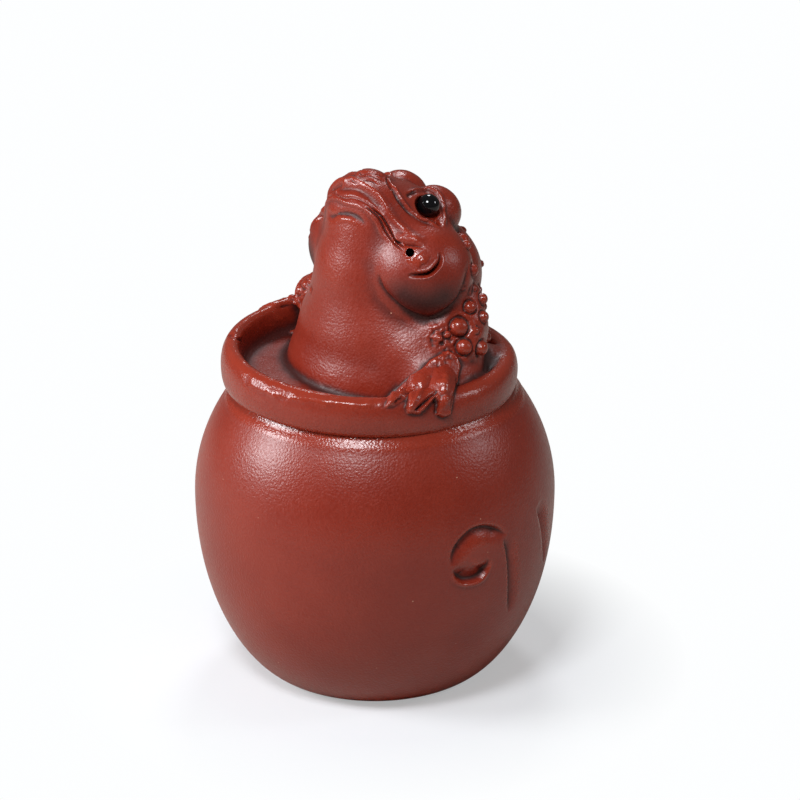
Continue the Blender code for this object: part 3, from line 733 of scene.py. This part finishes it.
def carve_mouth(skin):
    """The lips, the crease under the lower lip and the nose."""
    skin.groove(right_across(skin, LIP_HOLLOW), 1.15 * MM, 0.62 * MM, 0, 0.12)
    skin.groove(right_across(skin, LIP_RIDGE), 0.72 * MM, -0.30 * MM, 0, 0.1)
    skin.groove(right_across(skin, UNDER_LIP), 0.6 * MM, 0.36 * MM, 0, 0.2)
    skin.groove(right_across(skin, UNDER_LIP_BANK), 0.5 * MM, -0.24 * MM, 0, 0.25)
    skin.groove(right_across(skin, LIP_ROLL), 0.5 * MM, -0.2 * MM, 0, 0.1)
    skin.groove(right_across(skin, NOSE_TOP), 0.5 * MM, -0.15 * MM, 0, 0.1)
    for wrinkle in NOSE_WRINKLES:
        skin.groove(right_across(skin, wrinkle), 0.24 * MM, 0.17 * MM, 0.03 * MM, 0.12)
    skin.give()
    skin.groove(right_across(skin, MOUTH[:4]), 0.4 * MM, 0.2 * MM, 0, 0.2)
    for line in both_halves(skin, MOUTH[2:]):
        skin.groove(line, 0.23 * MM, 0.75 * MM, 0.04 * MM, 0.15)
    for line in both_halves(skin, LOWER_LIP):
        skin.groove(line, 0.19 * MM, 0.45 * MM, 0.02 * MM, 0.15)
    for line in both_halves(skin, NOSE_VALLEY):
        skin.groove(line, 0.32 * MM, 0.55 * MM, 0.05 * MM, 0.2)
    skin.give()


def carve_cheeks(skin):
    """The fold over each corner of the mouth, the raised pad beside it, the crescent and the pouch's edge."""
    for line in both_halves(skin, CHEEK_PAD):
        skin.groove(line, 1.5 * MM, -0.28 * MM, 0, 0)
    for line in both_halves(skin, POUCH_EDGE):
        skin.groove(line, 1.1 * MM, 0.8 * MM, 0, 0.2)
        skin.groove(line, 0.4 * MM, 0.3 * MM, 0.1 * MM, 0.2)
    skin.give()
    left, right = both_halves(skin, MOUTH_FOLD)
    skin.fold(left, 0.24 * MM, 0.75 * MM, 0.9 * MM, 0.36 * MM, 0.3)
    skin.fold(right[::-1], 0.24 * MM, 0.75 * MM, 0.9 * MM, 0.36 * MM, 0.3)
    for line in both_halves(skin, CRESCENT):
        skin.groove(line, 0.42 * MM, 1.35 * MM, 0.12 * MM, 0.35)
    skin.give()


def carve_eyes(skin):
    """The lids round each bead and the bowl that it lies in."""
    for line in both_halves(skin, LOWER_LID):
        skin.groove(line, 0.42 * MM, -0.42 * MM, 0, 0.15)
    for line in both_halves(skin, LOWER_LID_GROOVE):
        skin.groove(line, 0.36 * MM, 0.32 * MM, 0, 0.2)
    for line in both_halves(skin, UPPER_LID):
        skin.groove(line, 0.46 * MM, -0.36 * MM, 0, 0.15)
    skin.give()
    for side in (1, -1):
        axis = HEAD_TURN @ Vector((0.86 * side, -0.49, 0.1)).normalized()
        skin.bowl(bead_place(side), axis, 2.4 * MM, 1.5 * MM, 0.25 * MM)
    skin.give()
    for line in both_halves(skin, EYE_CORNER):
        skin.groove(line, 0.6 * MM, 0.75 * MM, 0, 0.3)
    for line in both_halves(skin, EYE_RECESS):
        skin.groove(line, 0.45 * MM, 0.45 * MM, 0, 0.3)
    for line in both_halves(skin, LID_RIM):
        skin.groove(line, 0.26 * MM, -0.24 * MM, 0, 0.2)
    skin.give()


def scattered(skin, count, least, most, seed, back):
    """Warts at random places on the back and the shoulders, clear of each other and of the cheeks."""
    rng = np.random.default_rng(seed)
    apart = (skin.places - np.array(TORSO_AXIS)) / MM
    pouches = [np.array(on_head(side * 9.2, -4.2, -9.6)) for side in (1, -1)]
    free = (apart[:, 1] > back) & (apart[:, 2] > 5) & (apart[:, 2] < 23) & (skin.normals[:, 2] < 0.9)
    for pouch in pouches:
        free &= np.linalg.norm(skin.places - pouch, axis=1) > 9.6 * MM
    choices = skin.places[np.nonzero(free)[0]]
    kept = []
    for k in rng.integers(len(choices), size=40 * count):
        radius = least + (most - least) * rng.random() ** 2
        place = choices[k]
        if all(np.linalg.norm(place - other) > (radius + r) * 1.15 * MM for other, r, h in kept):
            kept.append((place, radius, 0.75 * radius))
        if len(kept) == count:
            break
    return kept


def carve_warts(skin):
    """Big warts beside each arm, smaller ones over the back, and crumbly clay beside the left arm."""
    marks = []
    for pixel, radius, height in NEAR_WARTS:
        for place in skin.seen([pixel]):
            marks += [(place, radius, height), (mirrored_on_torso(place), radius, height)]
    for pixel, radius, height in FAR_WARTS:
        marks += [(place, radius, height) for place in skin.seen([pixel])]
    near = [np.array(place) for place, radius, height in marks]
    for place, radius, height in scattered(skin, 30, 0.7, 1.2, 5, 2.5):
        if min(np.linalg.norm(place - other) for other in near) > (radius + 1.6) * MM:
            marks.append((Vector(place), radius, height))
    for place, radius, height in marks:
        skin.lump(place, radius * MM, height * MM, 0.26 * radius * MM)
    skin.give()
    for pixel, reach in CRUMBLY:
        for place in skin.seen([pixel]):
            crumble(skin, place, reach * MM, 0.2 * MM)


def crumble(skin, place, reach, height):
    """Small sharp unevenness round a place."""
    away = np.linalg.norm(skin.places - np.array(place), axis=1) / reach
    near = np.nonzero(away < 1)[0]
    rough = [noise.noise(Vector(p) * 1100) + 0.6 * noise.noise(Vector(p) * 2200) for p in skin.places[near]]
    skin.push(near, height * (1 - away[near] ** 2) * np.array(rough))
    skin.give()


def roughen(skin):
    """Handmade unevenness: slow swells and small dents."""
    slow = np.array([noise.noise(Vector(place) * 110) for place in skin.places])
    small = np.array([noise.noise(Vector(place) * 500) for place in skin.places])
    skin.push(np.arange(len(skin.places)), (0.10 * slow + 0.02 * small) * MM)
    skin.give()


def carve_toad(top):
    """Cut the fine forms into the toad's skin, on a mesh that is split where they need it."""
    skin = Skin(top)
    lines = [right_across(skin, MOUTH), *both_halves(skin, LOWER_LID), *both_halves(skin, LIP_RIDGE),
             *both_halves(skin, UPPER_LID), *both_halves(skin, CRESCENT), *both_halves(skin, MOUTH_FOLD),
             right_across(skin, NOSE_TOP)]
    skin.refine(lines, 1.8 * MM)
    skin.refine([skin.seen(pixels) for pixels, *rest in TOE_GROOVES + TOE_CRESTS], 1.6 * MM)
    warts = [skin.seen([pixel, (pixel[0] - 1, pixel[1])]) for pixel, *rest in NEAR_WARTS[:BIG_WARTS]]
    skin.refine(warts, 2.2 * MM)
    skin.refine([skin.seen(CRUMBLY_LINE)], 2.2 * MM)
    skin.relax(np.ones(len(skin.places)) * 0.6, 2)
    skin.give()
    fine = [right_across(skin, MOUTH), *both_halves(skin, LOWER_LIP), *both_halves(skin, MOUTH_FOLD),
            *both_halves(skin, NOSE_VALLEY), *both_halves(skin, CRESCENT), *both_halves(skin, LID_RIM)]
    skin.refine(fine, 0.75 * MM)
    carve_mouth(skin)
    carve_cheeks(skin)
    carve_eyes(skin)
    carve_hands(skin)
    carve_rim(skin)
    carve_warts(skin)
    roughen(skin)
    over = np.maximum(skin.places[:, 2] - CROWN_HEIGHT, 0)
    skin.places[:, 2] -= CROWN_PRESS * over
    skin.give()


def store_crease_shade(top):
    """Keep how far the skin lies in creases as painted shade, with painted shade under the pouched cheeks
    added.
    """
    skin = Skin(top)
    crease_shade = skin.hollows(CREASE_ROUNDS, CREASE_DEPTH)
    # Painted shade under the pouched cheeks, added to the painted shade of the creases
    for line in both_halves(skin, POUCH_SHADE):
        near, distance, side, share = skin.beside(skin.laid(line), 4.6 * MM)
        ends = np.clip(np.minimum(share, 1 - share) / 0.25, 0, 1)
        crease_shade[near] = np.maximum(crease_shade[near], ends * np.exp(-(distance / (3.0 * MM)) ** 2))
    skin.store("crease_shade", crease_shade)


def rod(inner, outer, radius):
    """A round bar between two places."""
    along = outer - inner
    turn = along.to_track_quat("Z", "Y").to_matrix().to_4x4()
    bm = bmesh.new()
    bmesh.ops.create_cone(bm, cap_ends=True, segments=32, radius1=radius, radius2=radius, depth=along.length,
                          matrix=Matrix.Translation((inner + outer) / 2) @ turn)
    return put("rod", bm)


def bored(top):
    """Cut the small holes at the mouth's corners and the beads' sockets."""
    opening = Skin(top).seen([PINHOLE])[0]
    inner = opening + sight(*PINHOLE) * 6 * MM
    outer = opening - sight(*PINHOLE) * 3 * MM
    cut(top, rod(inner, outer, PINHOLE_RADIUS))
    cut(top, rod(mirrored_on_head(inner), mirrored_on_head(outer), PINHOLE_RADIUS))
    for side in (1, -1):
        bm = bmesh.new()
        ball(bm, bead_place(side), (BEAD_RADIUS + SOCKET_GAP,) * 3, HEAD_TURN, segments=48)
        cut(top, put("socket", bm))
    return top


def jar_radius(height):
    """The jar's outer radius at a height: an arc above the belly, a fuller curve below it."""
    if height > BELLY_HEIGHT:
        collar = COLLAR_HEIGHT * math.exp(-((height - NECK_HEIGHT + COLLAR_DROP) / COLLAR_WIDTH) ** 2)
        return collar + JAR_RADIUS * math.sqrt(1 - ((height - BELLY_HEIGHT) / SHOULDER_RISE) ** 2)
    drop = (BELLY_HEIGHT - height) / BELLY_HEIGHT
    return FOOT_RADIUS + (JAR_RADIUS - FOOT_RADIUS) * (1 - drop ** 2.1) ** (1 / 1.5)


def jar_profile():
    """The jar's section: down its outside, in through the vent and up the inside of its wall."""
    heights = [NECK_HEIGHT * (1 - (k / JAR_ROWS) ** 0.92) for k in range(JAR_ROWS)] + [0]
    outside = [(jar_radius(z), z) for z in heights]
    rows = 12
    top = NECK_HEIGHT - 0.2 * MM
    inner = [WALL + (top - WALL) * k / rows for k in range(rows + 1)]
    inside = [(jar_radius(z) - WALL, z) for z in inner]
    seat = NECK_HEIGHT + SEAT_DEPTH
    neck = [(NECK_RADIUS - 0.3 * MM, seat)]
    vent = [(VENT_RADIUS, 0), (VENT_RADIUS, WALL)]
    return neck + outside + vent + inside + [(NECK_RADIUS - WALL, seat)]


def on_jar(bearing, height):
    """A place on the jar's outside, at a bearing from straight ahead."""
    r = jar_radius(height)
    return Vector((math.sin(bearing) * r, -math.cos(bearing) * r, height))


# The scroll as the photograph's pixels: the hook's upper and lower edges, its tail and the upright leaf
HOOK_TOP = ((507, 536), (497, 529.5), (484, 527.5), (471, 532), (459, 544), (453, 556), (452, 566))
HOOK_FOOT = ((453, 570), (459, 578), (467, 581), (480, 577.5), (487.5, 567), (488, 559))
TAIL = ((503, 538), (507.5, 549), (509.5, 565), (510, 585), (508.5, 612))
LEAF = ((537, 507), (541, 520), (543.5, 540), (543.5, 562), (541, 582))
LEAF_MIDDLE = math.radians(120)
HOOK_BEARING = math.radians(85)
HOOK_HEIGHT = 31 * MM


def mirrored_on_jar(place):
    """The same place on the other side of the leaf."""
    return on_jar(2 * LEAF_MIDDLE - math.atan2(place.x, -place.y), place.z)


def carve_jar(o):
    """A carved scroll: a hook with a tail on each side of an upright leaf, scooped against steep edges."""
    skin = Skin(o)
    lines = [skin.seen(pixels) for pixels in (HOOK_TOP, HOOK_FOOT, TAIL, LEAF)]
    far = [[mirrored_on_jar(place) for place in line][::-1] for line in lines[:3]]
    skin.refine(lines + far, 1.6 * MM)
    top, foot, tail, leaf = lines
    for line, depth, slope, wall in ((top, 1.0, 1.7, 0.34), (foot, 1.15, 2.0, 0.34), (tail, 0.85, 1.2, 0.32),
                                     (leaf, 1.2, 1.6, 0.34), (far[0], 1.0, 1.7, 0.34),
                                     (far[1], 1.15, 2.0, 0.34), (far[2], 0.85, 1.2, 0.32)):
        skin.scoop(line, depth * MM, slope * MM, wall * MM, 0.22)
    middle = on_jar(HOOK_BEARING, HOOK_HEIGHT)
    for line in (foot, far[1]):
        bank = [place + (place - middle) * 0.12 for place in line]
        skin.groove(bank, 0.6 * MM, -0.26 * MM, 0, 0.3)
    skin.give()
    # Painted shade in the scroll's cuts, kept for the clay material
    skin.store("crease_shade", skin.hollows(CREASE_ROUNDS, CREASE_DEPTH))


def build_jar():
    jar = turned("jar", jar_profile(), JAR_STEPS, True)
    carve_jar(jar)
    return jar


def bead_place(side):
    return HEAD_CENTRE + HEAD_TURN @ Vector((side * EYE_SPACING / 2, -EYE_FORWARD, -EYE_DROP))


def build_bead(side, name):
    bm = bmesh.new()
    ball(bm, bead_place(side), (BEAD_RADIUS,) * 3, HEAD_TURN, segments=64)
    return put(name, bm)


class Value:
    """A number in a material, with arithmetic."""

    def __init__(self, tree, socket):
        self.tree = tree
        self.socket = socket

    def made(self, operation, *values):
        n = self.tree.nodes.new("ShaderNodeMath")
        n.operation = operation
        for slot, value in zip(n.inputs, values):
            connect(self.tree, slot, value)
        return Value(self.tree, n.outputs[0])

    def __add__(self, other):
        return self.made("ADD", self, other)

    def __sub__(self, other):
        return self.made("SUBTRACT", self, other)

    def __mul__(self, other):
        return self.made("MULTIPLY", self, other)

    def __rsub__(self, other):
        return self.made("SUBTRACT", other, self)

    __radd__ = __add__
    __rmul__ = __mul__

    def clamped(self):
        n = self.made("ADD", self, 0.0)
        n.socket.node.use_clamp = True
        return n


def connect(tree, slot, value):
    if isinstance(value, Value):
        tree.links.new(value.socket, slot)
    elif isinstance(value, bpy.types.NodeSocket):
        tree.links.new(value, slot)
    else:
        slot.default_value = value


def node(tree, kind, settings=None, **inputs):
    """A node with its settings and inputs; an input's name has underscores for spaces."""
    n = tree.nodes.new(kind)
    for key, value in (settings or {}).items():
        setattr(n, key, value)
    for key, value in inputs.items():
        connect(tree, n.inputs[key.replace("_", " ")], value)
    return n


def new_material(name):
    m = bpy.data.materials.new(name)
    m.use_nodes = True
    return m, m.node_tree, m.node_tree.nodes["Principled BSDF"]


def noise_value(tree, place, scale, detail=4.0, roughness=0.55):
    n = node(tree, "ShaderNodeTexNoise", None, Vector=place, Scale=scale, Detail=detail, Roughness=roughness)
    return Value(tree, n.outputs[0])


def span(tree, value, start, end):
    """A value that goes from 0 at the start to 1 at the end, and stays there."""
    n = node(tree, "ShaderNodeMapRange", None, Value=value, From_Min=start, From_Max=end)
    return Value(tree, n.outputs[0])


def mixed(tree, share, first, second):
    """A colour between two."""
    n = tree.nodes.new("ShaderNodeMix")
    n.data_type = "RGBA"
    connect(tree, n.inputs[0], share)
    connect(tree, n.inputs[6], first)
    connect(tree, n.inputs[7], second)
    return n.outputs[2]


CLAY_MID = (0.205, 0.0145, 0.0050, 1)
CLAY_LIGHT = (0.285, 0.032, 0.015, 1)
# The colour of the painted shade in the creases and under the pouched cheeks
CLAY_PAINTED_SHADE = (0.040, 0.0035, 0.002, 1)
CLAY_SPECK = (0.55, 0.27, 0.18, 1)
BEAD_BLACK = (0.004, 0.004, 0.005, 1)
LAMP_COLOUR = (0.94, 0.96, 1.0)
BACKGROUND_WHITE = (0.985, 0.995, 1.0, 1)


def clay_material():
    """Unglazed red clay: sandy, a little polished by handling, with painted shade in its creases and under
    the cheeks.
    """
    m, tree, shader = new_material("red_clay")
    place = node(tree, "ShaderNodeTexCoord").outputs["Object"]
    crease_shade = Value(tree, node(tree, "ShaderNodeAttribute", {"attribute_name": "crease_shade"}).outputs["Fac"])
    broad = noise_value(tree, place, 90, 3)
    fine = noise_value(tree, place, 1700, 4)
    sand = noise_value(tree, place, 3200, 3)
    smooth = {"feature": "SMOOTH_F1"}
    grains = node(tree, "ShaderNodeTexVoronoi", smooth, Vector=place, Scale=2500, Smoothness=0.4)
    grit = node(tree, "ShaderNodeTexVoronoi", None, Vector=place, Scale=700)
    speck = span(tree, grit.outputs["Distance"], 0.10, 0.05)
    rare = span(tree, grit.outputs["Color"], 0.80, 0.86)
    # The tone changes at random, and is lowered by painted shade in the creases and under the cheeks
    tone = ((broad - 0.5) * 1.1 + (fine - 0.5) * 0.5 + 0.30 - crease_shade * 0.6).clamped()
    colour = mixed(tree, tone, CLAY_MID, CLAY_LIGHT)
    # Painted shade: the dark colour mixed in where the creases and the pouches' undersides lie
    colour = mixed(tree, (crease_shade * 0.95).clamped(), colour, CLAY_PAINTED_SHADE)
    colour = mixed(tree, speck * rare, colour, CLAY_SPECK)
    connect(tree, shader.inputs["Base Color"], colour)
    connect(tree, shader.inputs["Roughness"], ((fine - 0.5) * 0.25 + crease_shade * 0.2 + 0.38).clamped())
    height = (fine - 0.5) * 0.22 + (sand - 0.5) * 0.35 - Value(tree, grains.outputs["Distance"]) * 0.4
    bump = node(tree, "ShaderNodeBump", None, Height=height, Strength=0.6, Distance=0.00016)
    connect(tree, shader.inputs["Normal"], bump.outputs[0])
    shader.inputs["Coat Weight"].default_value = 0.08
    shader.inputs["Coat Roughness"].default_value = 0.25
    return m


def bead_material():
    """Polished black glass."""
    m, tree, shader = new_material("black_bead")
    place = node(tree, "ShaderNodeTexCoord").outputs["Object"]
    smear = noise_value(tree, place, 400, 2)
    shader.inputs["Base Color"].default_value = BEAD_BLACK
    connect(tree, shader.inputs["Roughness"], (smear - 0.5) * 0.05 + 0.06)
    return m


def floor_material():
    """A pale table that turns into plain white away from the jar."""
    m, tree, shader = new_material("pale_table")
    shader.inputs["Base Color"].default_value = (0.86, 0.88, 0.90, 1)
    shader.inputs["Roughness"].default_value = 0.55
    place = node(tree, "ShaderNodeTexCoord").outputs["Object"]
    length = node(tree, "ShaderNodeVectorMath", {"operation": "LENGTH"}, Vector=place)
    away = Value(tree, length.outputs["Value"])
    seen = Value(tree, node(tree, "ShaderNodeLightPath").outputs["Is Camera Ray"])
    dull = node(tree, "ShaderNodeBsdfDiffuse", None, Color=(0.55, 0.50, 0.45, 1))
    white = node(tree, "ShaderNodeEmission", None, Color=BACKGROUND_WHITE, Strength=1.0)
    both = tree.nodes.new("ShaderNodeMixShader")
    connect(tree, both.inputs[0], (away * 45.0 - 1.4).clamped() * 0.62 + 0.38)
    connect(tree, both.inputs[1], shader.outputs[0])
    connect(tree, both.inputs[2], white.outputs[0])
    whole = tree.nodes.new("ShaderNodeMixShader")
    connect(tree, whole.inputs[0], seen)
    connect(tree, whole.inputs[1], dull.outputs[0])
    connect(tree, whole.inputs[2], both.outputs[0])
    connect(tree, tree.nodes["Material Output"].inputs["Surface"], whole.outputs[0])
    return m


def lamp(name, place, size, power):
    """A square lamp that shines at the object."""
    light = bpy.data.lights.new(name, "AREA")
    light.size = size
    light.energy = power
    light.color = LAMP_COLOUR
    o = bpy.data.objects.new(name, light)
    bpy.context.scene.collection.objects.link(o)
    o.location = place
    o.rotation_euler = (AIM - Vector(place)).to_track_quat("-Z", "Y").to_euler()


def from_camera(right, toward, up):
    """A place counted from the jar's foot, in millimetres to the camera's right, towards it and up."""
    return (TO_RIGHT * right + TO_CAMERA * toward) * MM + Vector((0, 0, up * MM))


def light_stage():
    """A pale table, a bright backdrop and soft lamps."""
    bm = bmesh.new()
    bmesh.ops.create_grid(bm, x_segments=1, y_segments=1, size=3)
    table = put("table", bm)
    table.data.materials.append(floor_material())
    world = bpy.data.worlds.new("studio")
    bpy.context.scene.world = world
    world.use_nodes = True
    tree = world.node_tree
    dim = tree.nodes["Background"]
    dim.inputs["Color"].default_value = (1, 0.93, 0.86, 1)
    dim.inputs["Strength"].default_value = 0.10
    white = node(tree, "ShaderNodeBackground", None, Color=BACKGROUND_WHITE, Strength=1.0)
    both = tree.nodes.new("ShaderNodeMixShader")
    connect(tree, both.inputs[0], node(tree, "ShaderNodeLightPath").outputs["Is Camera Ray"])
    connect(tree, both.inputs[1], dim.outputs[0])
    connect(tree, both.inputs[2], white.outputs[0])
    connect(tree, tree.nodes["World Output"].inputs["Surface"], both.outputs[0])
    lamp("left_window", from_camera(-400, 60, 235), 0.16, 1.65)
    lamp("front_lamp", from_camera(-100, 270, 430), 0.13, 1.7)
    lamp("right_lamp", from_camera(390, 40, 260), 0.09, 0.28)
    lamp("back_lamp", from_camera(20, -300, 380), 0.10, 0.5)
    bpy.context.scene.view_settings.view_transform = "Standard"


def place_camera():
    camera = bpy.data.cameras.new("camera")
    camera.lens = LENS
    camera.sensor_width = SENSOR
    camera.clip_start = 0.01
    camera.clip_end = 20
    o = bpy.data.objects.new("camera", camera)
    bpy.context.scene.collection.objects.link(o)
    o.location = EYE_POINT
    o.rotation_euler = (-LOOK_BACK).to_track_quat("-Z", "Y").to_euler()
    bpy.context.scene.camera = o


def dress(o, slot, material, *nodes):
    """Give a piece its material and its body, and hide the imported parts of the nodes that it stands for."""
    o.data.materials.clear()
    o.data.materials.append(material)
    o.data.shade_smooth()
    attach(o, "root")
    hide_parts(*nodes)


def main():
    place_camera()
    light_stage()
    clay = clay_material()
    bead = bead_material()
    top = build_top()
    carve_toad(top)
    bored(top)
    store_crease_shade(top)
    dress(top, "red_clay", clay, "clay_body")
    dress(build_jar(), "red_clay", clay, "clay_body")
    for side, name in ((1, "left"), (-1, "right")):
        dress(build_bead(side, name + "_bead"), "black_bead", bead, name + "_eye")


main()
